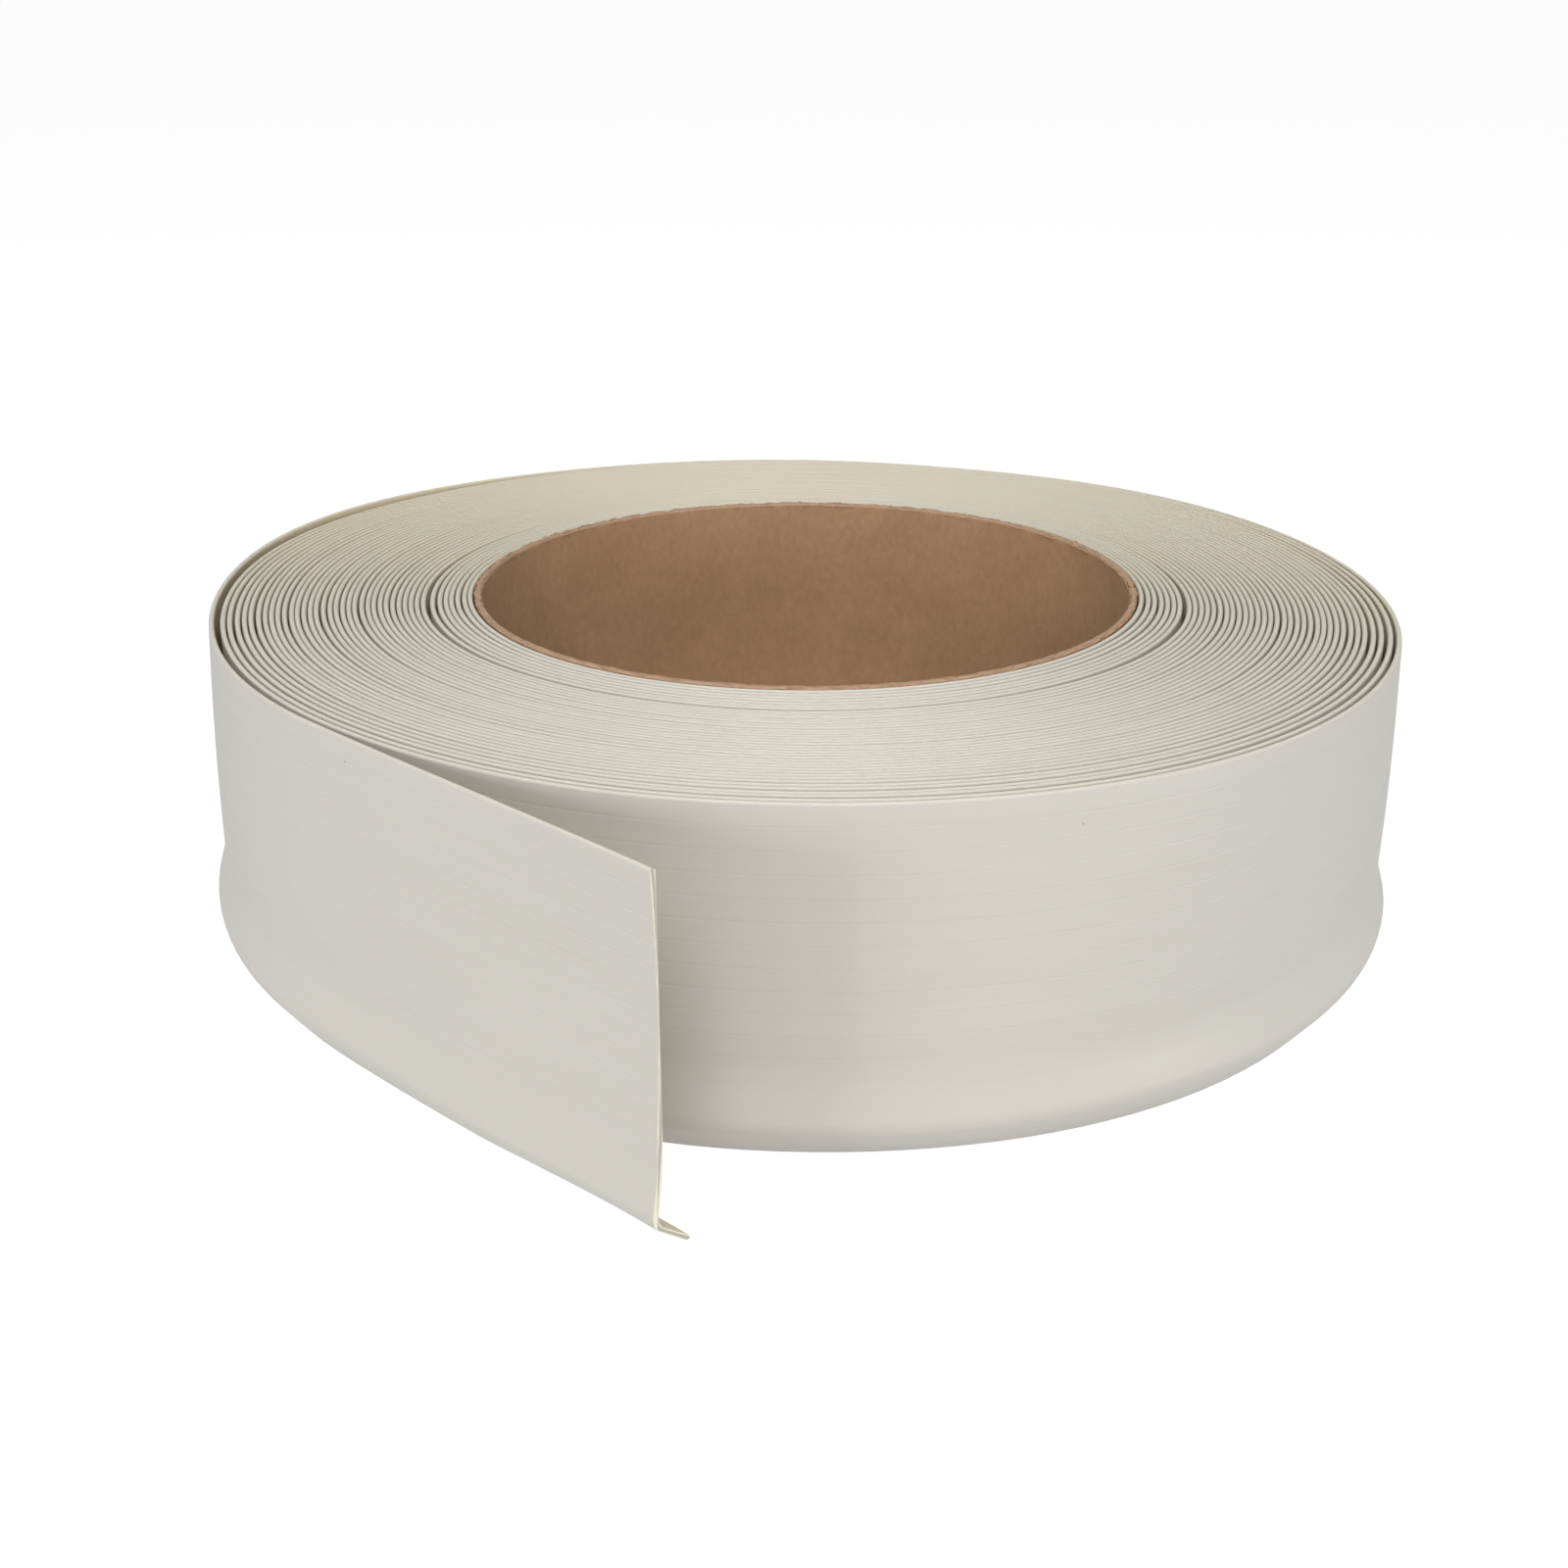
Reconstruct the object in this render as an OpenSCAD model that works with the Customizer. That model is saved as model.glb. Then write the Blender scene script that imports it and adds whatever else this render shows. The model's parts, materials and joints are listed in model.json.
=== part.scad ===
/* [Roll] */
// Outside diameter of the wound roll, over its top edge
roll_d = 400; // [394:1:420]
// Half turns of strip on the core
half_turns = 79; // [71:2:81]
// Clearance between the core and the innermost turn
core_gap = 1; // [0.5:0.1:2]
// Length of the free end that has come off the roll
free_end_len = 146; // [60:1:200]
// Gap left between the roll and the start of the free end
free_end_gap = 0.3; // [0.2:0.1:1]

/* [Strip] */
// Height of the strip as it stands, from toe tip to top edge
strip_h = 106; // [105:1:112]
// Thickness of the strip, measured straight in from its back
strip_t = 1.95; // [1.7:0.05:2]
// How far the heel stands out behind the back of the strip
heel_out = 4.25; // [3:0.25:6]
// Height of the middle of the heel bend
heel_h = 12.3; // [10:0.1:14]
// Outside radius of the heel bend
heel_r = 3.5; // [2:0.1:5]
// Slope of the toe from upright
toe_angle = 37; // [30:1:45]
// Slope of the cove above the heel from upright
cove_angle = 18; // [12:1:24]
// Thickness left at the tip of the toe, measured straight in
tip_t = 1.2; // [0.8:0.1:1.6]

/* [Core] */
// Outside diameter of the paper core
core_od = 228.6; // [220:0.1:229]
// Wall of the paper core, all plies together
core_wall = 2.5; // [2:0.1:4]
// Length of the paper core
core_len = 101.6; // [95:0.1:102]
// How far the core stands above the top edge of the strip
core_proud = 1.5; // [1:0.1:4]
// Thickness of the smooth ply inside the core
liner_t = 0.4; // [0.3:0.1:0.6]
// Thickness of the smooth ply round the outside of the core
wrap_t = 0.4; // [0.3:0.1:0.6]

/* [Hidden] */
$fn = 180;

kraft = [0.60, 0.47, 0.37];
vinyl = [0.82, 0.81, 0.78];

// The strip is wound as half circles about two centres in turn, which keeps
// every turn an even pitch outside the one within it.
roll_r = roll_d / 2;
core_r = core_od / 2;
bore_r = core_r - core_wall;
seam_angle = 45;
first_r = core_r + core_gap + strip_t;
step_r = (roll_r - first_r) / half_turns;
centre_shift = step_r / 2;

// Half turns at which each group of turns starts and ends, counted from the core
group_ends = [0, 6, 14, 28, 42, 56, half_turns - 12, half_turns - 2, half_turns];

// Heel bend of the strip's back, drawn as a few flats round one centre
heel_centre = [heel_out - heel_r, heel_h];
heel_flats = 4;
heel_sweep = toe_angle + cove_angle;
heel = [
  for (i = [0 : heel_flats])
    let (a = i * heel_sweep / heel_flats - toe_angle)
    heel_centre + heel_r * [cos(a), sin(a)]
];
tip = [heel[0][0] - heel[0][1] * tan(toe_angle), 0];
cove_top = [0, heel[heel_flats][1] + heel[heel_flats][0] / tan(cove_angle)];
back = concat([tip], heel, [cove_top, [0, strip_h]]);

core_bottom = strip_h + core_proud - core_len;

// Section of the strip: x is measured out from its back, y up from the toe tip
module strip_section() {
  face = [for (i = [len(back) - 1 : -1 : 1]) back[i] - [strip_t, 0]];
  polygon(concat(back, face, [tip - [tip_t, 0]]));
}

// The half circles on one side of the seam, from number k = from up to k = to - 1;
// even numbers lie on side 0 and odd numbers on side 1
module half_circles(from, to, side) {
  rotate([0, 0, seam_angle + 180 * side])
    translate([-centre_shift, 0, 0])
      rotate_extrude(angle = 180)
        for (k = [from : to - 1])
          if (k % 2 == side)
            translate([first_r + k * step_r + centre_shift, 0])
              strip_section();
}

// Group n of the winding, counted from the core
module turns(n) {
  color(vinyl)
    union() {
      half_circles(group_ends[n], group_ends[n + 1], 0);
      half_circles(group_ends[n], group_ends[n + 1], 1);
    }
}

// A tube of paper plies, from one radius to another
module ply(inner, outer) {
  color(kraft)
    translate([0, 0, core_bottom])
      difference() {
        cylinder(r = outer, h = core_len);
        translate([0, 0, -1])
          cylinder(r = inner, h = core_len + 2);
      }
}

module core_liner_ply() {
  ply(bore_r, bore_r + liner_t);
}

module core_body_plies() {
  ply(bore_r + liner_t, core_r - wrap_t);
}

module core_outer_ply() {
  ply(core_r - wrap_t, core_r);
}

module first_turns() {
  turns(0);
}

module second_turns() {
  turns(1);
}

module third_turns() {
  turns(2);
}

module fourth_turns() {
  turns(3);
}

module fifth_turns() {
  turns(4);
}

module sixth_turns() {
  turns(5);
}

module loose_turns() {
  turns(6);
}

module last_turn() {
  turns(7);
}

// The free end runs straight on from the end of the winding
module free_end() {
  color(vinyl)
    rotate([0, 0, seam_angle + 180])
      translate([roll_r, free_end_len, 0])
        rotate([90, 0, 0])
          linear_extrude(height = free_end_len - free_end_gap)
            strip_section();
}

core_liner_ply();
core_body_plies();
core_outer_ply();
first_turns();
second_turns();
third_turns();
fourth_turns();
fifth_turns();
sixth_turns();
loose_turns();
last_turn();
free_end();
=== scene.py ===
import json
from math import cos, exp, pi, radians, sin, tan
import bmesh
import bpy
from mathutils import Matrix, Vector, noise
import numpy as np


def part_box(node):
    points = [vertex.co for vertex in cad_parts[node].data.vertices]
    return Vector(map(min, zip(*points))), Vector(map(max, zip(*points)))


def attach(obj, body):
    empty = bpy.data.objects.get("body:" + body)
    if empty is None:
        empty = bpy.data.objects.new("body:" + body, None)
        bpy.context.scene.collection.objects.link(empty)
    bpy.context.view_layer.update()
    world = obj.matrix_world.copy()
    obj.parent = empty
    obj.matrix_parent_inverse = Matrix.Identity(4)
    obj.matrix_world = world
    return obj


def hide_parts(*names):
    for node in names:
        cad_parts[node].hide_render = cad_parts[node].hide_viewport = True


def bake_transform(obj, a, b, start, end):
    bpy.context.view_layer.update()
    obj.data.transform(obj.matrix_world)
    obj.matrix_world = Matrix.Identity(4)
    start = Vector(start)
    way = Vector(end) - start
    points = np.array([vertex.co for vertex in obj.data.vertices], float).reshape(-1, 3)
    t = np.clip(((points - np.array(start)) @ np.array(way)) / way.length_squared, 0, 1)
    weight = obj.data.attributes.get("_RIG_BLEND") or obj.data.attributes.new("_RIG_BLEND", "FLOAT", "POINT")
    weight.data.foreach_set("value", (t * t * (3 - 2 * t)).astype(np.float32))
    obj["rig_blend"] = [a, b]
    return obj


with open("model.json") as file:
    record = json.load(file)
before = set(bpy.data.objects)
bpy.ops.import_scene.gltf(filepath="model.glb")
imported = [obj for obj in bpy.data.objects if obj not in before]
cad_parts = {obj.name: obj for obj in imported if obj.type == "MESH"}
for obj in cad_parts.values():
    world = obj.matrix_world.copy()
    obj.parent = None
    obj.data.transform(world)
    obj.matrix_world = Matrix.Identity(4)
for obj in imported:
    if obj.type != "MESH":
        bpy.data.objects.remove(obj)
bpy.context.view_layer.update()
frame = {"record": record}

mm = 0.001

# camera

view = {
    "place": (-0.0074, -0.6611, 0.2965),
    "tilt": 21.9,              # degrees below level
    "lens": 45,
    "sensor": 36,
    "nearest": 0.01,
}


def addCamera():
    data = bpy.data.cameras.new("camera")
    data.lens = view["lens"]
    data.sensor_width = view["sensor"]
    data.clip_start = view["nearest"]
    camera = bpy.data.objects.new("camera", data)
    camera.location = view["place"]
    camera.rotation_euler = (radians(90 - view["tilt"]), 0, 0)
    bpy.context.collection.objects.link(camera)
    bpy.context.scene.camera = camera


addCamera()
print("camera placed")

# shader helpers and shared groups


def newGroup(name, inputs, outputs):
    group = bpy.data.node_groups.new(name, "ShaderNodeTree")
    for label, kind, value in inputs:
        socket = group.interface.new_socket(label, in_out="INPUT", socket_type=kind)
        if value is not None:
            socket.default_value = value
    for label, kind in outputs:
        group.interface.new_socket(label, in_out="OUTPUT", socket_type=kind)
    return group, group.nodes.new("NodeGroupInput"), group.nodes.new("NodeGroupOutput")


def addNode(tree, kind, links=None, **settings):
    # settings that start with in_ go to the input of that name or number
    node = tree.nodes.new(kind)
    for key, value in settings.items():
        if key.startswith("in_"):
            slot = key[3:]
            slot = int(slot) if slot.isdigit() else slot.replace("_", " ")
            node.inputs[slot].default_value = value
        else:
            setattr(node, key, value)
    for key, source in (links or {}).items():
        tree.links.new(source, node.inputs[key])
    return node


def feed(tree, socket, value):
    # a socket gets a link or its own value
    if isinstance(value, bpy.types.NodeSocket):
        tree.links.new(value, socket)
    else:
        socket.default_value = value


def mixColors(tree, factor, first, second, blend="MIX"):
    node = addNode(tree, "ShaderNodeMix", data_type="RGBA", blend_type=blend)
    for slot, value in ((0, factor), (6, first), (7, second)):
        feed(tree, node.inputs[slot], value)
    return node.outputs[2]


def mapRange(tree, value, low, high, toLow=0.0, toHigh=1.0):
    node = addNode(tree, "ShaderNodeMapRange")
    for slot, number in enumerate((value, low, high, toLow, toHigh)):
        feed(tree, node.inputs[slot], number)
    return node.outputs["Result"]


def makeMottle():
    # slow and fine cloudiness between two colours
    group, into, out = newGroup(
        "mottle",
        [("Vector", "NodeSocketVector", None), ("Light", "NodeSocketColor", (1, 1, 1, 1)),
         ("Dark", "NodeSocketColor", (0, 0, 0, 1)), ("Scale", "NodeSocketFloat", 10.0),
         ("Stretch", "NodeSocketVector", (1, 1, 1))],
        [("Color", "NodeSocketColor"), ("Fac", "NodeSocketFloat")])
    scaled = addNode(group, "ShaderNodeVectorMath",
                     {0: into.outputs["Vector"], 1: into.outputs["Stretch"]}, operation="MULTIPLY")
    cloud = addNode(group, "ShaderNodeTexNoise",
                    {"Vector": scaled.outputs[0], "Scale": into.outputs["Scale"]},
                    in_Detail=5.0, in_Roughness=0.6)
    mixed = mixColors(group, cloud.outputs["Fac"], into.outputs["Dark"], into.outputs["Light"])
    group.links.new(mixed, out.inputs["Color"])
    group.links.new(cloud.outputs["Fac"], out.inputs["Fac"])
    return group


def makeSpecks():
    # sparse small dots: 1 on a dot, 0 elsewhere
    group, into, out = newGroup(
        "specks",
        [("Vector", "NodeSocketVector", None), ("Scale", "NodeSocketFloat", 60.0),
         ("Size", "NodeSocketFloat", 0.06), ("Rarity", "NodeSocketFloat", 0.9)],
        [("Mask", "NodeSocketFloat")])
    cells = addNode(group, "ShaderNodeTexVoronoi",
                    {"Vector": into.outputs["Vector"], "Scale": into.outputs["Scale"]})
    near = addNode(group, "ShaderNodeMath", {0: cells.outputs["Distance"], 1: into.outputs["Size"]},
                   operation="LESS_THAN")
    parts = addNode(group, "ShaderNodeSeparateColor", {0: cells.outputs["Color"]})
    rare = addNode(group, "ShaderNodeMath", {0: parts.outputs[0], 1: into.outputs["Rarity"]},
                   operation="GREATER_THAN")
    both = addNode(group, "ShaderNodeMath", {0: near.outputs[0], 1: rare.outputs[0]},
                   operation="MULTIPLY")
    group.links.new(both.outputs[0], out.inputs["Mask"])
    return group


mottle = makeMottle()
specks = makeSpecks()


def useGroup(tree, group, vector, **values):
    node = tree.nodes.new("ShaderNodeGroup")
    node.node_tree = group
    tree.links.new(vector, node.inputs["Vector"])
    for key, value in values.items():
        node.inputs[key].default_value = value
    return node


def addGrain(tree, shader, vector, scale, detail, strength, depth):
    grain = addNode(tree, "ShaderNodeTexNoise", {"Vector": vector}, in_Scale=scale, in_Detail=detail)
    bump = addNode(tree, "ShaderNodeBump", {"Height": grain.outputs["Fac"]},
                   in_Strength=strength, in_Distance=depth)
    tree.links.new(bump.outputs["Normal"], shader.inputs["Normal"])


# vinyl of the strip

vinylLook = {
    # the back: the vinyl painted darker and greyer than its trimmed edges, which is painted shade on the
    # upright back and a painted sheen, as if it reflected the bright room; the cloudiness between the two
    # colours is the vinyl's own uneven tone
    "back": (0.526, 0.509, 0.470, 1),
    "backDark": (0.487, 0.470, 0.428, 1),
    "body": (0.655, 0.629, 0.542, 1),      # trimmed edges, painted lighter and warmer than the back: painted light on the upward-facing tops
    "face": (0.600, 0.525, 0.370, 1),      # inner face
    "cut": (0.40, 0.39, 0.33, 1),          # middle of the cut end
    # cream rims along the two edges of the cut end: painted highlights
    "cutRimHighlight": (0.76, 0.72, 0.58, 1),
    "smudge": (0.30, 0.28, 0.24, 1),
    "bodyFrom": (0.02, 0.35),              # shares of the way from back to face
    "faceFrom": (0.6, 0.95),
    "cutFrom": (0.12, 0.26),
    "cloud": {"Scale": 30.0, "Stretch": (0.35, 1, 2.0)},
    "streak": {"Scale": 300.0, "Stretch": (0.02, 1, 1.0), "Light": (1, 1, 1, 1),
               "Dark": (0.955, 0.95, 0.94, 1)},
    "specks": {"Scale": 85.0, "Size": 0.04, "Rarity": 0.975},
    "grain": {"scale": 900.0, "detail": 3.0, "strength": 0.12, "depth": 0.05 * mm},
    "cloudSpread": (0.3, 0.7),             # part of the cloudiness that changes the roughness
    "roughness": (0.40, 0.51),
    "specular": 0.4,
}


def makeVinyl():
    material = bpy.data.materials.new("strip_vinyl")
    material.use_nodes = True
    tree = material.node_tree
    shader = tree.nodes["Principled BSDF"]
    place = addNode(tree, "ShaderNodeTexCoord").outputs["Object"]
    axes = addNode(tree, "ShaderNodeSeparateXYZ", {0: place})
    side = addNode(tree, "ShaderNodeAttribute", attribute_name="side").outputs["Fac"]
    run = addNode(tree, "ShaderNodeAttribute", attribute_name="run").outputs["Fac"]
    end = addNode(tree, "ShaderNodeAttribute", attribute_name="cut").outputs["Fac"]
    along = addNode(tree, "ShaderNodeCombineXYZ", {"X": run, "Z": axes.outputs["Z"]}).outputs[0]
    cloud = useGroup(tree, mottle, along, Light=vinylLook["back"], Dark=vinylLook["backDark"],
                     **vinylLook["cloud"])
    streak = useGroup(tree, mottle, along, **vinylLook["streak"])
    color = mixColors(tree, 1.0, cloud.outputs["Color"], streak.outputs["Color"], "MULTIPLY")
    # trimmed edges and tops take the lighter body colour: painted light, set against the back's painted
    # shade and sheen
    color = mixColors(tree, mapRange(tree, side, *vinylLook["bodyFrom"]), color, vinylLook["body"])
    color = mixColors(tree, mapRange(tree, side, *vinylLook["faceFrom"]), color, vinylLook["face"])
    # the cut end: painted highlights as cream rims along its edges, over a darker middle
    deep = addNode(tree, "ShaderNodeMath", {0: side}, operation="PINGPONG", in_1=0.5).outputs[0]
    cutEndPaintedRims = mixColors(tree, mapRange(tree, deep, *vinylLook["cutFrom"]), vinylLook["cutRimHighlight"],
                     vinylLook["cut"])
    color = mixColors(tree, end, color, cutEndPaintedRims)
    dots = useGroup(tree, specks, place, **vinylLook["specks"])
    color = mixColors(tree, dots.outputs["Mask"], color, vinylLook["smudge"])
    tree.links.new(color, shader.inputs["Base Color"])
    rough = mapRange(tree, cloud.outputs["Fac"], *vinylLook["cloudSpread"], *vinylLook["roughness"])
    tree.links.new(rough, shader.inputs["Roughness"])
    shader.inputs["Specular IOR Level"].default_value = vinylLook["specular"]
    addGrain(tree, shader, place, **vinylLook["grain"])
    return material


vinyl = makeVinyl()

# strip section

strip = {
    "height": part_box("last_turn")[1].z,
    "thickness": 1.74 * mm,
    "heelOut": 4.25 * mm,      # reach of the heel behind the back of the strip
    "heelHeight": 12.3 * mm,
    "heelRound": 3.5 * mm,
    "heelBlend": 6.0 * mm,     # softer round that the heel is given after its corner is set
    "coveRound": 9 * mm,       # length of the blend from web to cove
    "toeAngle": 37,            # degrees from upright
    "coveAngle": 18,
    "tipThickness": 1.9 * mm,
    "edgeRound": 0.76 * mm,
    "tipRound": 0.6 * mm,
    "toePaintedLight": 0.2,            # how far the toe's back, which faces down, is painted towards the lighter, warmer edge colour: painted light, strongest at its foot
    "grooves": 13,             # counted down from the top; those below the web are left out
    "groovePitch": 6.7 * mm,
    "grooveWidth": 0.7 * mm,
    "grooveDepth": 0.11 * mm,
    "grooveLip": 0.12 * mm,    # flat kept true beside a groove
    "grooveClear": (2.5 * mm, 1 * mm),     # left plain above the cove and below the top
    "segments": {              # of each rounded corner, on wound turns and on the last turn
        "heel": (3, 8), "cove": (2, 6), "top": (4, 5), "tip": (2, 4), "toe": (2, 6),
    },
}
stripTop = strip["height"]


def sectionCorners():
    # corners of the back, from the toe tip up, before they are rounded
    toe, cove = tan(radians(strip["toeAngle"])), tan(radians(strip["coveAngle"]))
    centreX, centreZ = strip["heelOut"] - strip["heelRound"], strip["heelHeight"]
    lowX = centreX + strip["heelRound"] * cos(radians(strip["toeAngle"]))
    lowZ = centreZ - strip["heelRound"] * sin(radians(strip["toeAngle"]))
    highX = centreX + strip["heelRound"] * cos(radians(strip["coveAngle"]))
    highZ = centreZ + strip["heelRound"] * sin(radians(strip["coveAngle"]))
    tipX = lowX - lowZ * toe
    coveZ = highZ + highX / cove
    heelZ = (coveZ * cove - tipX) / (toe + cove)
    return (tipX, 0), (tipX + heelZ * toe, heelZ), (0, coveZ), (0, stripTop)


def backAt(z):
    # how far out the unrounded back stands at a height
    corners = sectionCorners()
    for (x0, z0), (x1, z1) in zip(corners, corners[1:]):
        if z <= z1:
            break
    return x0 + (x1 - x0) * (z - z0) / (z1 - z0)


def grooveNotches(low, high):
    # notches cut in the straight stretch of the back between two corners
    notches = []
    half, lip = strip["grooveWidth"] / 2, strip["grooveLip"]
    clearLow, clearHigh = strip["grooveClear"]
    for k in range(strip["grooves"], 0, -1):
        z = stripTop - k * strip["groovePitch"]
        if low[1] + clearLow < z < high[1] - clearHigh:
            x = low[0] + (high[0] - low[0]) * (z - low[1]) / (high[1] - low[1])
            notches += [(x, z - half - lip), (x, z - half), (x - strip["grooveDepth"], z),
                        (x, z + half), (x, z + half + lip)]
    return notches


def newSection(bm, fine):
    # the strip's section as one face: x is measured out from the back, z up; a fine one has grooves
    tip, heel, cove, top = sectionCorners()
    thick = strip["thickness"]
    back = [tip, heel, cove] + (grooveNotches(cove, top) if fine else []) + [top]
    face = [(x - thick, z) for x, z in (top, cove, heel)] + [(tip[0] - strip["tipThickness"], 0)]
    verts = [bm.verts.new((x, 0, z)) for x, z in back + face]
    bm.faces.new(verts)
    tipBack, heelBack, coveBack, topBack = verts[0], verts[1], verts[2], verts[len(back) - 1]
    topFace, coveFace, heelFace, tipFace = verts[len(back):]
    turn = radians(90 - (strip["toeAngle"] + strip["coveAngle"]) / 2)
    corners = [
        ("heel", heelBack, strip["heelBlend"] / tan(turn)),
        ("heel", heelFace, strip["heelBlend"] / tan(turn)),
        ("cove", coveBack, strip["coveRound"] / 2),
        ("cove", coveFace, strip["coveRound"] / 2),
        ("top", topBack, strip["edgeRound"]),
        ("top", topFace, strip["edgeRound"]),
        ("tip", tipBack, strip["tipRound"]),
        ("toe", tipFace, strip["tipRound"] * 2),
    ]
    for name, vert, offset in corners:
        bmesh.ops.bevel(bm, geom=[vert], offset=offset, offset_type="OFFSET",
                        segments=strip["segments"][name][fine], profile=0.5, affect="VERTICES",
                        material=-1)
    side = bm.verts.layers.float.new("side")   # 0 on the back, 1 on the face
    bm.verts.layers.float.new("run")           # metres along the strip
    bm.faces.layers.float.new("cut")           # 1 on the cut end
    for vert in bm.verts:
        height = vert.co.z
        inward = min(1, max(0, (backAt(height) - vert.co.x) / thick))
        if strip["tipRound"] < height < stripTop - strip["edgeRound"]:
            inward = round(inward)
            if height < strip["heelHeight"]:
                # painted light: the down-facing toe is painted lighter towards its foot
                inward = max(inward, strip["toePaintedLight"] * (1 - height / strip["heelHeight"]))
        vert[side] = inward


# winding

winding = {
    "halfTurns": 79,
    "startAngle": 45,              # degrees; each half turn starts or ends on this line
    "startRadius": 116.6 * mm,     # back of the strip where it starts on the core
    "startGap": 0.2 * mm,          # gap where the first turn steps over its own start
    "rollRadius": 200 * mm,        # back of the strip where it leaves the roll
    "steps": 144,                  # steps in one turn
    "leastGap": 0.03 * mm,
    "wander": 1.5,                 # how uneven the gaps are
    "leastShare": 0.08,            # smallest share of the even gap
    "gapNoise": {"drift": 0.83, "start": 11, "scale": 1.2},
    "lift": 0.25 * mm,             # how unevenly the turns stand
    "liftNoise": {"drift": 0.71, "start": 40, "scale": 1.1},
    "coreLift": 0.7 * mm,          # how far the first turns ride up on the core
    "coreLiftTurns": 6,
    "slackSpots": [                # turn from the core, angle, half width in degrees, gap in mm
        (1, 335, 26, 0.35), (3, 330, 30, 0.25), (6, 205, 32, 0.5), (7, 200, 42, 0.9), (7, 272, 60, 0.9),
        (7, 338, 38, 1.0), (12, 200, 40, 0.25), (18, 195, 40, 0.3), (22, 340, 40, 0.25),
        (24, 205, 40, 0.3), (29, 200, 45, 0.3), (32, 335, 50, 0.3), (33, 270, 55, 0.75),
        (34, 200, 45, 0.3), (35, 350, 45, 0.4), (35, 272, 55, 0.8), (36, 355, 45, 0.5),
        (36, 208, 40, 0.3), (37, 350, 50, 0.5), (37, 208, 40, 0.4), (37, 275, 55, 0.9),
        (38, 345, 40, 0.5), (38, 206, 40, 0.4), (39, 205, 38, 1.1), (39, 160, 36, 1.1),
    ],
    "lumps": [                     # angle, half width in degrees, how far out of round in mm
        (156, 27, 8.0), (122, 18, 2.0), (70, 22, -5.5), (25, 40, -3.5), (308, 32, 4.0),
    ],
    "settle": 38,                  # degrees in which a turn steps over the end of the one before
}
halfSteps = winding["steps"] // 2


def smoothStep(x):
    x = min(1, max(0, x))
    return x * x * (3 - 2 * x)


def bell(angle, centre, halfWidth):
    apart = (angle - centre + 180) % 360 - 180
    return exp(-(apart / halfWidth) ** 2)


def angleAt(turn):
    return radians(winding["startAngle"]) + 2 * pi * turn


def wobble(turn, drift, start, scale):
    # smooth noise round the winding, which drifts from turn to turn
    angle = angleAt(turn)
    return noise.noise(Vector((cos(angle), sin(angle), turn * drift + start)) * scale)


def slackSpot(turn):
    # extra gap outside the strip at this point of the winding
    extra = 0
    for number, angle, halfWidth, gap in winding["slackSpots"]:
        centre = number - 1 + (angle - winding["startAngle"]) / 360
        extra += gap * mm * exp(-((turn - centre) * 360 / halfWidth) ** 2)
    return extra


def windRadii():
    # radius of the strip's back at every step, each turn resting on the one within it; the first
    # turn hugs the core, and then steps over its own start
    steps = winding["steps"]
    total = winding["halfTurns"] * halfSteps
    hop = strip["thickness"] + winding["startGap"]
    tight = [winding["startRadius"] + hop * smoothStep(1 - (1 - i / steps) * 360 / winding["settle"])
             for i in range(steps)]
    loose = [0.0] * steps
    for i in range(steps, total + 1):
        inner = (i - steps) / steps
        tight.append(tight[i - steps] + strip["thickness"] + winding["leastGap"] + slackSpot(inner))
        share = 1 + winding["wander"] * wobble(inner, **winding["gapNoise"])
        loose.append(loose[i - steps] + max(winding["leastShare"], share))
    slack = (winding["rollRadius"] - tight[total]) / loose[total]
    even = [t + slack * u for t, u in zip(tight, loose)]
    step = winding["rollRadius"] - even[total - steps]
    wound = list(even)
    for first in range(steps):     # every angle is stretched or squeezed to the roll's outline
        last = first + (total - first) // steps * steps
        angle = winding["startAngle"] + 360 * first / steps
        over = smoothStep((last - total + steps) / steps * 360 / winding["settle"])
        outline = winding["rollRadius"] - step * (1 - over)
        for centre, halfWidth, out in winding["lumps"]:
            outline += out * mm * bell(angle, centre, halfWidth)
        change = (outline - even[last]) / (even[last] - even[first])
        for i in range(first, last + 1, steps):
            wound[i] += change * (even[i] - even[first])
    gaps = [wound[i + steps] - wound[i] - strip["thickness"] for i in range(total + 1 - steps)]
    print("even slack", round(slack / mm, 3), "least gap", round(min(gaps) / mm, 3), "mm")
    return wound


radii = windRadii()


def coilStation(i):
    turn = i / winding["steps"]
    rise = winding["lift"] * (1 + wobble(turn, **winding["liftNoise"])) / 2
    rise += winding["coreLift"] * (1 - smoothStep(turn / winding["coreLiftTurns"]))
    return Matrix.Rotation(angleAt(turn), 4, "Z") @ Matrix.Translation((radii[i], 0, rise))


def coilStations(start, end):
    # from one half turn to another
    return [coilStation(i) for i in range(start * halfSteps, end * halfSteps + 1)]


# drawing the strip

drawing = {
    "stretch": winding["steps"] // 4,      # steps drawn at a time
    "weld": 0.01 * mm,
    "crease": 40,                          # degrees from which an edge is sharp
}


def sweepStations(bm, ring, stations):
    # draws the section's edges through every station; returns the verts of each, and the last edges
    rows = [list({v for e in ring for v in e.verts})]
    bmesh.ops.transform(bm, matrix=stations[0], verts=rows[0])
    for here, there in zip(stations, stations[1:]):
        out = bmesh.ops.extrude_edge_only(bm, edges=ring)["geom"]
        ring = [g for g in out if isinstance(g, bmesh.types.BMEdge)]
        rows.append([g for g in out if isinstance(g, bmesh.types.BMVert)])
        bmesh.ops.transform(bm, matrix=there @ here.inverted(), verts=rows[-1])
    return rows, ring


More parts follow.
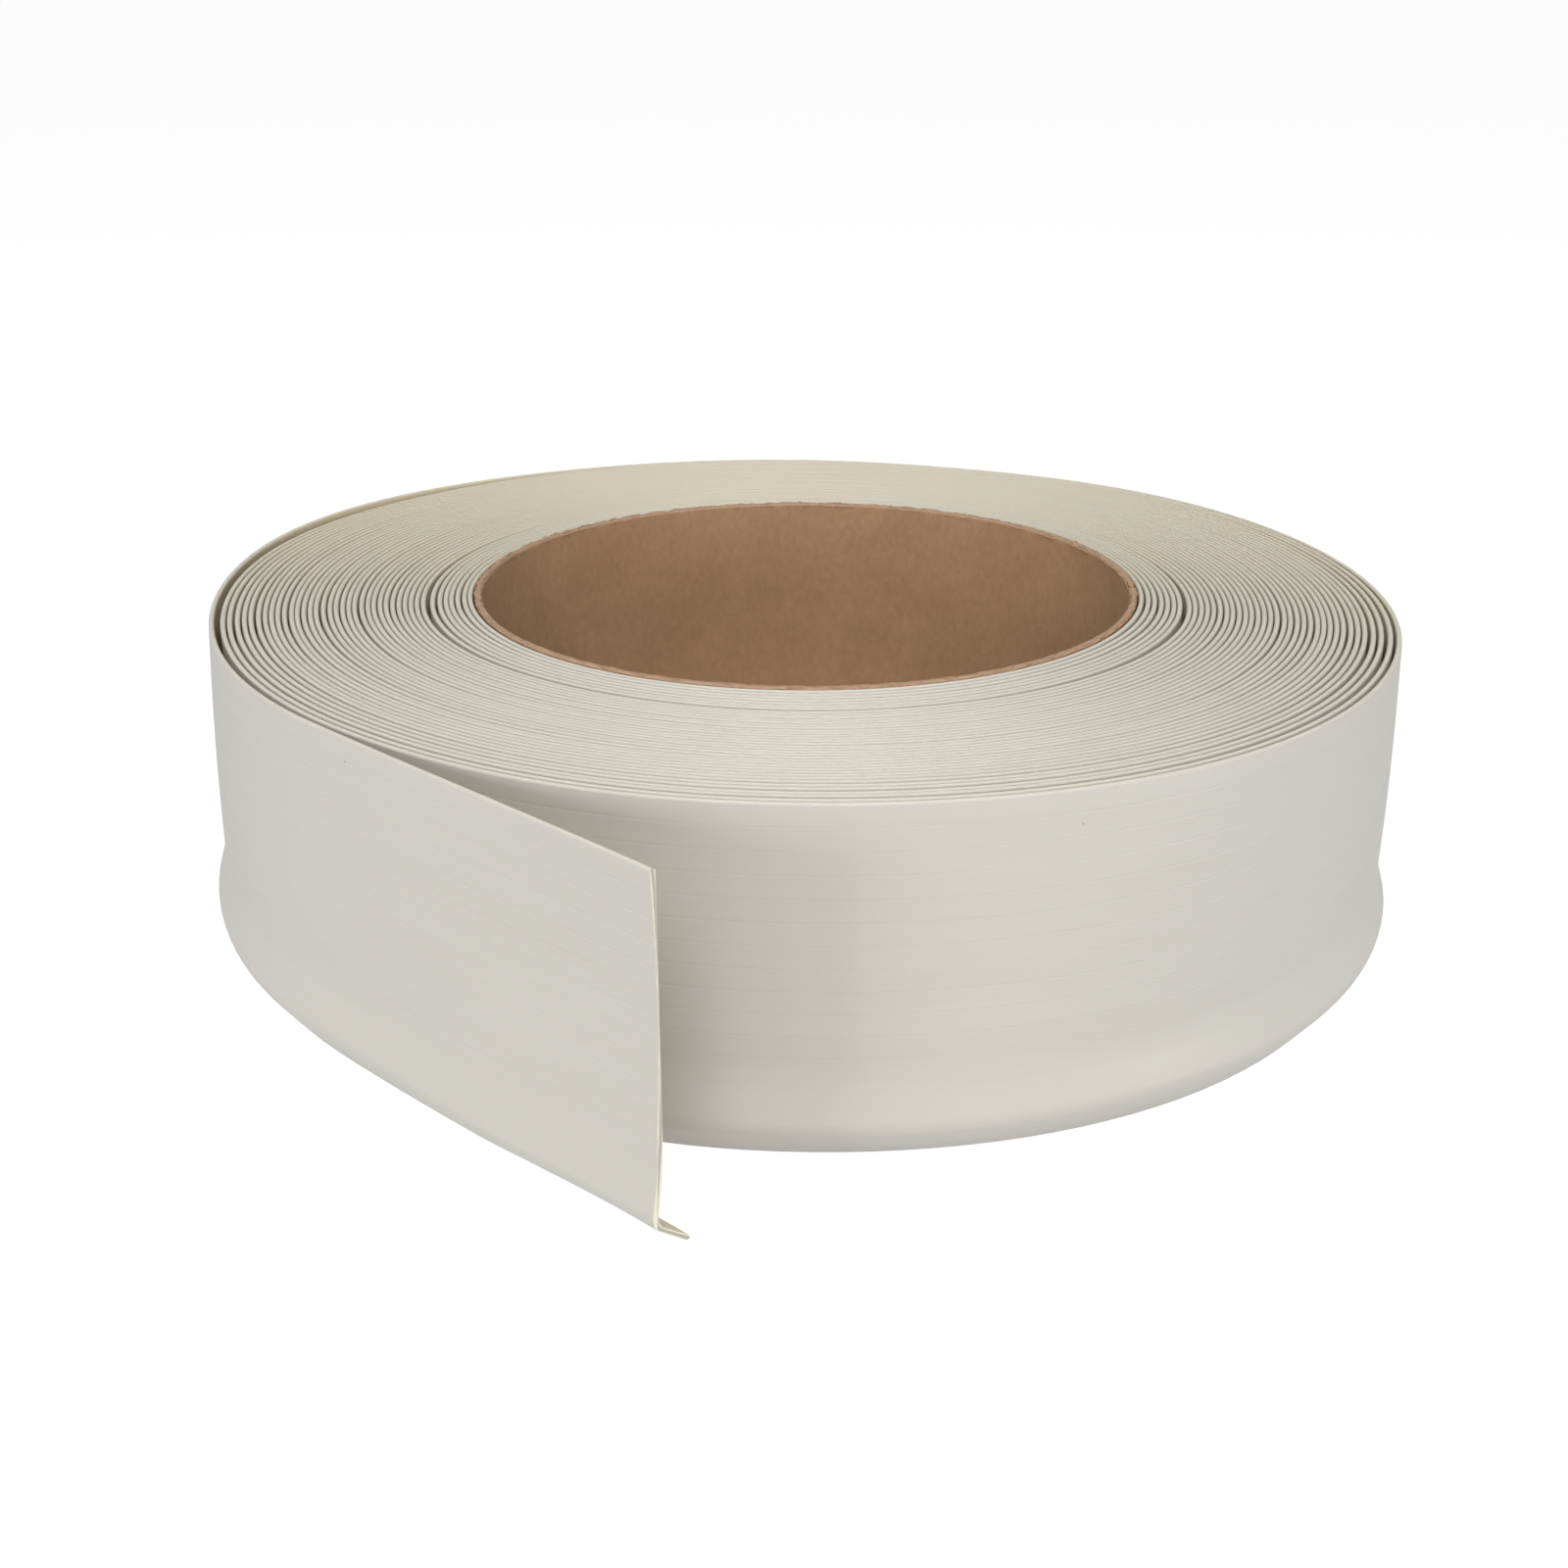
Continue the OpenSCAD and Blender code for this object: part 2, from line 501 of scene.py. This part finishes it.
def finishPiece(name, bm, material):
    bmesh.ops.recalc_face_normals(bm, faces=bm.faces)
    crease = radians(drawing["crease"])
    for face in bm.faces:
        face.smooth = True
    for edge in bm.edges:
        edge.smooth = len(edge.link_faces) == 2 and edge.calc_face_angle(0) < crease
    mesh = bpy.data.meshes.new(name)
    bm.to_mesh(mesh)
    bm.free()
    mesh.materials.append(material)
    piece = bpy.data.objects.new(name, mesh)
    bpy.context.collection.objects.link(piece)
    return piece


def windStrip(name, stations, fine=False, reshape=None):
    # wound in short stretches, each quick to draw, which are then welded into one strip
    whole = bmesh.new()
    stretch = drawing["stretch"]
    last = len(stations) - 1
    runs = [0]
    for here, there in zip(stations, stations[1:]):
        runs.append(runs[-1] + (there.translation - here.translation).length)
    for first in range(0, last, stretch):
        bm = bmesh.new()
        newSection(bm, fine)
        cap = bm.faces[:]
        rows, lastRing = sweepStations(bm, bm.edges[:], stations[first:first + stretch + 1])
        run = bm.verts.layers.float["run"]
        for k, row in enumerate(rows, first):
            back = stations[k].inverted()
            for vert in row:
                vert[run] = runs[k]
                if reshape:
                    vert.co = stations[k] @ reshape(back @ vert.co, k)
        if first:
            bmesh.ops.delete(bm, geom=cap, context="FACES_ONLY")
        if first + stretch >= last:
            for face in bmesh.ops.holes_fill(bm, edges=lastRing, sides=0)["faces"]:
                face[bm.faces.layers.float["cut"]] = 1
        mesh = bpy.data.meshes.new(name)
        bm.to_mesh(mesh)
        bm.free()
        whole.from_mesh(mesh)
        bpy.data.meshes.remove(mesh)
    bmesh.ops.remove_doubles(whole, verts=whole.verts, dist=drawing["weld"])
    return finishPiece(name, whole, vinyl)


# wound turns

groups = {                    # half turns in each group, counted from the core
    "first_turns": (0, 6),
    "second_turns": (6, 14),
    "third_turns": (14, 28),
    "fourth_turns": (28, 42),
    "fifth_turns": (42, 56),
    "sixth_turns": (56, 67),
    "loose_turns": (67, 77),
}


def makeTurns():
    for node, (start, end) in groups.items():
        piece = windStrip(node + "_strip", coilStations(start, end))
        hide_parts(node)
        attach(piece, "roll")
        print("wound", node, len(piece.data.polygons), "faces")


makeTurns()

# last turn and free end

freeEnd = {
    "length": 145.2 * mm,
    "steps": 48,
    "barrel": 1.25 * mm,       # how far the last turn's back swells
    "barrelSteps": 20,         # steps in which the swelling begins
    "curl": 1.45 * mm,         # how far the middle of the free end bows in
    "curlHeight": 76 * mm,     # how far down from the top it does
    "coveRelax": 1.85 * mm,    # how far its heel draws in
    "heelDrop": 3.0 * mm,
    "relaxBelow": 30 * mm,     # height below which the heel draws in and drops
    "relaxFade": 18 * mm,
    "toeRelax": 15,            # degrees that its toe opens
    "toeAbove": 3 * mm,        # how far above the middle of the heel that begins
    "toeFade": 9 * mm,
    "rise": 1.2 * mm,          # how far its top lifts
    "lean": 5.0 * mm,          # how far the foot of the loose last turn stands out
    "leanFrom": 150,           # degrees round the roll
    "leanTo": 245,
    "leanCarry": 30,           # degrees that the free end adds to these
    "leanFade": (0.45, 1.0),   # shares of the free end's length between which the lean fades out
    "backLift": 1.5 * mm,      # how far the last turn rides up behind
    "backLiftAt": (150, 26),   # angle and half width in degrees
    "ragged": 0.25 * mm,
    "raggedScale": 400,
}


def makeLastTurn():
    end = winding["halfTurns"] - 1

    def swell(point, k):
        bulge = max(0, sin(pi * (stripTop - point.z) / stripTop)) * min(1, k / freeEnd["barrelSteps"])
        point.x += freeEnd["barrel"] * bulge
        return point

    piece = windStrip("last_turn_strip", coilStations(end - 1, end), fine=True, reshape=swell)
    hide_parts("last_turn")
    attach(piece, "roll")


def relax(point, k):
    # shape of the last half turn and of the free end, which loses its wound shape along its length
    along = max(0, (k - halfSteps) / freeEnd["steps"])
    ease = smoothStep(along)
    angle = winding["startAngle"] + 180 * min(1, k / halfSteps)
    x, y, z = point
    swell = freeEnd["barrel"] * max(0, sin(pi * (stripTop - z) / stripTop)) * (1 - ease)
    down = (stripTop - z) / freeEnd["curlHeight"]
    curl = freeEnd["curl"] * (sin(pi * down) if down < 1 else 0) * ease
    low = smoothStep((freeEnd["relaxBelow"] - z) / freeEnd["relaxFade"])
    leanFrom, leanTo = freeEnd["leanFrom"], freeEnd["leanTo"]
    fadeFrom, fadeTo = freeEnd["leanFade"]
    lean = smoothStep((angle + freeEnd["leanCarry"] * along - leanFrom) / (leanTo - leanFrom))
    lean *= 1 - smoothStep((along - fadeFrom) / (fadeTo - fadeFrom))
    lean *= freeEnd["lean"] * (1 - z / stripTop)
    lift = freeEnd["backLift"] * bell(angle, *freeEnd["backLiftAt"]) + freeEnd["rise"] * ease
    below = strip["heelHeight"] + freeEnd["toeAbove"] - z
    if below > 0:
        turn = -radians(freeEnd["toeRelax"]) * ease * smoothStep(below / freeEnd["toeFade"])
        px, pz = x - (strip["heelOut"] - strip["heelRound"]), z - strip["heelHeight"]
        x += px * cos(turn) - pz * sin(turn) - px
        z += px * sin(turn) + pz * cos(turn) - pz
    if k == halfSteps + freeEnd["steps"]:
        y += freeEnd["ragged"] * noise.noise(Vector((0, 7, z * freeEnd["raggedScale"])))
    return Vector((x + swell + lean - curl - freeEnd["coveRelax"] * low * ease, y,
                   z + lift - freeEnd["heelDrop"] * low * ease))


def makeFreeEnd():
    end = winding["halfTurns"]
    coil = coilStations(end - 1, end)
    leave = coil[-1]
    pace = freeEnd["length"] / freeEnd["steps"]
    straight = [leave @ Matrix.Translation((0, pace * (k + 1), 0)) for k in range(freeEnd["steps"])]
    piece = windStrip("free_end_strip", coil + straight, fine=True, reshape=relax)
    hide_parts("free_end", "last_turn")
    start = leave.translation
    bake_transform(piece, "roll", "free_end", start=start,
             end=leave @ Vector((0, 0.09, 0)))


makeLastTurn()
makeFreeEnd()
print("last turn and free end made")

# core

coreLow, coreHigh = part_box("core_outer_ply")
core = {
    "outer": coreHigh.x,
    "bore": frame["record"]["mounts"][0]["dims"]["r_mm"] * mm,
    "bottom": coreLow.z,
    "top": coreHigh.z - 0.2 * mm,
    "ply": 0.4 * mm,
    "steps": 720,
    "bodySteps": 4,            # steps across the body plies at the rims
    "footLoop": 2 * mm,        # loops above the bottom and below the top, which keep the walls straight
    "rimLoops": (3 * mm, 1.2 * mm),
    "fray": 0.5 * mm,
    "frayOut": 0.9,            # how much of it goes in and out
    "frayFine": (900, 0.6),    # noise scale and share
    "frayCoarse": 260,
    "frayBand": (0.1 * mm, 1 * mm),        # how far up from the bottom and down from the top
}

kraftLook = {
    "light": (0.415, 0.260, 0.150, 1),
    "dark": (0.305, 0.181, 0.101, 1),
    "rim": (0.53, 0.355, 0.240, 1),
    "rimDark": (0.31, 0.205, 0.130, 1),
    "fleck": (0.43, 0.285, 0.18, 1),
    "cloud": {"Scale": 45.0, "Stretch": (1, 1, 1.2)},
    "fibres": {"Scale": 420.0, "Stretch": (1, 1, 0.7), "Light": (1.22, 1.22, 1.22, 1),
               "Dark": (0.78, 0.78, 0.78, 1)},
    "torn": {"Scale": 500.0, "Stretch": (1, 1, 1)},
    "rimFrom": (-0.35 * mm, 0.1 * mm),     # heights from the top between which the rim's look begins
    "rimRagged": 1.2 * mm,
    "flecks": {"Scale": 420.0, "Size": 0.13, "Rarity": 0.95},
    "grain": {"scale": 500.0, "detail": 4.0, "strength": 0.5, "depth": 0.15 * mm},
    "roughness": 0.9,
    "specular": 0.2,
}


def makeKraft():
    material = bpy.data.materials.new("core_paper")
    material.use_nodes = True
    tree = material.node_tree
    shader = tree.nodes["Principled BSDF"]
    place = addNode(tree, "ShaderNodeTexCoord").outputs["Object"]
    axes = addNode(tree, "ShaderNodeSeparateXYZ", {0: place})
    cloud = useGroup(tree, mottle, place, Light=kraftLook["light"], Dark=kraftLook["dark"],
                     **kraftLook["cloud"])
    fibres = useGroup(tree, mottle, place, **kraftLook["fibres"])
    torn = useGroup(tree, mottle, place, Light=kraftLook["rim"], Dark=kraftLook["rimDark"],
                    **kraftLook["torn"])
    color = mixColors(tree, 1.0, cloud.outputs["Color"], fibres.outputs["Color"], "MULTIPLY")
    ragged = addNode(tree, "ShaderNodeMath", {0: fibres.outputs["Fac"], 2: axes.outputs["Z"]},
                     operation="MULTIPLY_ADD", in_1=kraftLook["rimRagged"])
    low, high = (core["top"] + height for height in kraftLook["rimFrom"])
    color = mixColors(tree, mapRange(tree, ragged.outputs[0], low, high), color, torn.outputs["Color"])
    flecks = useGroup(tree, specks, place, **kraftLook["flecks"])
    color = mixColors(tree, flecks.outputs["Mask"], color, kraftLook["fleck"])
    tree.links.new(color, shader.inputs["Base Color"])
    shader.inputs["Roughness"].default_value = kraftLook["roughness"]
    shader.inputs["Specular IOR Level"].default_value = kraftLook["specular"]
    addGrain(tree, shader, place, **kraftLook["grain"])
    return material


kraft = makeKraft()


def frayEdges(bm, seed):
    footBand, rimBand = core["frayBand"]
    fineScale, fineShare = core["frayFine"]
    for vert in bm.verts:
        if vert.co.z > core["top"] - rimBand or vert.co.z < core["bottom"] + footBand:
            place = Vector((vert.co.x, vert.co.y, seed * 0.01))
            rag = fineShare * noise.noise(place * fineScale) + noise.noise(place * core["frayCoarse"])
            out = vert.co.xy.normalized() * core["fray"] * core["frayOut"] * rag
            vert.co += Vector((out.x, out.y, core["fray"] * rag))


def makePly(node, inner, outer, seed, innerDrop, outerDrop):
    # the drops are how far the ply's inner and outer corners stand below the top of the core
    bm = bmesh.new()
    low, high = core["bottom"], core["top"]
    loops = [low, low + core["footLoop"]] + [high - drop for drop in core["rimLoops"]]
    across = 1 if outer - inner < 2 * core["ply"] else core["bodySteps"]
    section = [(outer, z) for z in loops]
    for k in range(across + 1):
        share = k / across
        drop = outerDrop * (1 - share) + innerDrop * share
        section.append((outer + (inner - outer) * share, high - drop))
    section += [(inner, z) for z in reversed(loops)]
    verts = [bm.verts.new((x, 0, z)) for x, z in section]
    edges = [bm.edges.new((verts[i - 1], verts[i])) for i in range(len(verts))]
    bmesh.ops.spin(bm, geom=verts + edges, cent=(0, 0, 0), axis=(0, 0, 1), angle=2 * pi,
                   steps=core["steps"], use_merge=True)
    frayEdges(bm, seed)
    piece = finishPiece(node + "_paper", bm, kraft)
    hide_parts(node)
    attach(piece, "core")


linerOut, bodyOut = core["bore"] + core["ply"], core["outer"] - core["ply"]
makePly("core_liner_ply", core["bore"], linerOut, 1, 0.7 * mm, 0.2 * mm)
makePly("core_body_plies", linerOut, bodyOut, 2, 0.2 * mm, 0.1 * mm)
makePly("core_outer_ply", bodyOut, core["outer"], 3, 0.1 * mm, 0.7 * mm)
print("core made")

# floor and light

studio = {
    "floor": (0.70, 0.70, 0.70, 1),
    "floorRoughness": 0.9,
    "floorSpecular": 0.1,
    "floorShine": 1.27,        # what the eye adds to the floor, so that it reads as white paper
    "floorShare": 0.72,
    "floorGlow": 0.35,         # how much of it lights the roll
    "glowFrom": 0.9,           # share of the bore's radius within which the floor doesn't glow
    "size": 2000,
    "world": 0.28,             # what the sky gives as light; to the eye it is white
    "lights": [                # name, place, size, watts
        ("overhead", (0.0, 0.0, 2.4), 2.0, 9),
        ("front", (0.0, -1.4, 1.75), 1.2, 32),
        ("left", (-1.5, -1.25, 0.36), 0.5, 11),
        ("right", (1.7, -1.0, 0.26), 0.5, 10),
    ],
    "aim": (0, 0, 0.05),
}


def addLight(name, place, size, energy):
    data = bpy.data.lights.new(name, "AREA")
    data.size = size
    data.energy = energy
    light = bpy.data.objects.new(name, data)
    light.location = place
    toAim = Vector(studio["aim"]) - Vector(place)
    light.rotation_euler = toAim.to_track_quat("-Z", "Y").to_euler()
    bpy.context.collection.objects.link(light)


def addFloor():
    bpy.ops.mesh.primitive_plane_add(size=studio["size"], location=(0, 0, 0))
    floor = bpy.context.object
    floor.name = "floor"
    paint = bpy.data.materials.new("floor")
    paint.use_nodes = True
    tree = paint.node_tree
    shader = tree.nodes["Principled BSDF"]
    shader.inputs["Base Color"].default_value = studio["floor"]
    shader.inputs["Roughness"].default_value = studio["floorRoughness"]
    shader.inputs["Specular IOR Level"].default_value = studio["floorSpecular"]
    seen = addNode(tree, "ShaderNodeLightPath").outputs["Is Camera Ray"]
    place = addNode(tree, "ShaderNodeTexCoord").outputs["Object"]
    away = addNode(tree, "ShaderNodeVectorMath", {0: place}, operation="LENGTH").outputs["Value"]
    glow = mapRange(tree, away, core["bore"] * studio["glowFrom"], core["bore"], 0.0, studio["floorGlow"])
    share = mapRange(tree, seen, 0.0, 1.0, glow, studio["floorShare"])
    white = addNode(tree, "ShaderNodeEmission", in_Strength=studio["floorShine"])
    mixed = addNode(tree, "ShaderNodeMixShader", {0: share, 1: shader.outputs[0], 2: white.outputs[0]})
    tree.links.new(mixed.outputs[0], tree.nodes["Material Output"].inputs["Surface"])
    floor.data.materials.append(paint)


def addWorld():
    world = bpy.data.worlds.new("studio")
    world.use_nodes = True
    tree = world.node_tree
    sky = tree.nodes["Background"]
    sky.inputs["Color"].default_value = (1, 1, 1, 1)
    seen = addNode(tree, "ShaderNodeLightPath").outputs["Is Camera Ray"]
    tree.links.new(mapRange(tree, seen, 0.0, 1.0, studio["world"], 1.0), sky.inputs["Strength"])
    bpy.context.scene.world = world


addFloor()
addWorld()
for name, place, size, energy in studio["lights"]:
    addLight(name, place, size, energy)
bpy.context.scene.view_settings.view_transform = "Standard"
print("floor and lights set")
